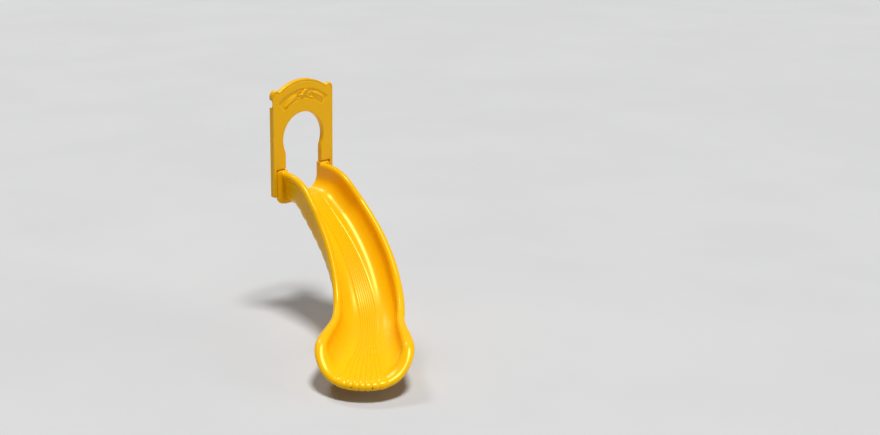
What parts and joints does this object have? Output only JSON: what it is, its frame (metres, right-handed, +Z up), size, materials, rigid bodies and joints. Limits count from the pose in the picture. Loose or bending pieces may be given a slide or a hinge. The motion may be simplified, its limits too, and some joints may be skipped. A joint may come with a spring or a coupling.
{
  "type": "playground slide",
  "caption": "Curved open playground slide moulded in yellow plastic, with rolled rims, a flared exit lip and an arched keyhole entrance panel.",
  "frame": {"origin": "centre of the four deck bolt holes, on the plane where the slide meets the edge of the deck", "axes": "+Z up, +Y towards the deck, the bed leaves towards -Y and bends towards -X"},
  "size_m": [2.0724, 2.8995, 2.9418],
  "materials": {
    "yellow_plastic": "glossy moulded",
    "yellow_caps": "satin moulded",
    "dark_plastic": "matte",
    "galvanised_steel": "galvanised",
    "stainless_steel": "satin",
    "brass": "machined"
  },
  "bodies": {
    "root": {"slide_chute": "yellow_plastic", "entrance_panel": "yellow_plastic", "deck_bracket": "galvanised_steel", "support_saddle": "galvanised_steel", "support_leg": "galvanised_steel", "leg_foot_plate": "galvanised_steel", "lip_drain_plugs": "dark_plastic", "chute_vent_plugs": "yellow_caps", "panel_vent_plugs": "yellow_caps", "flange_bolts": "stainless_steel", "flange_washers": "stainless_steel", "bracket_bolts": "stainless_steel", "bracket_washers": "stainless_steel", "saddle_bolts": "stainless_steel", "saddle_washers": "stainless_steel", "leg_cross_bolt": "stainless_steel", "leg_cross_washers": "stainless_steel", "leg_cross_nut": "stainless_steel", "flange_inserts": "brass", "bracket_inserts": "brass", "saddle_inserts": "brass", "clamp_inserts": "brass", "lower_panel_inserts": "brass"}
  },
  "joints": []
}
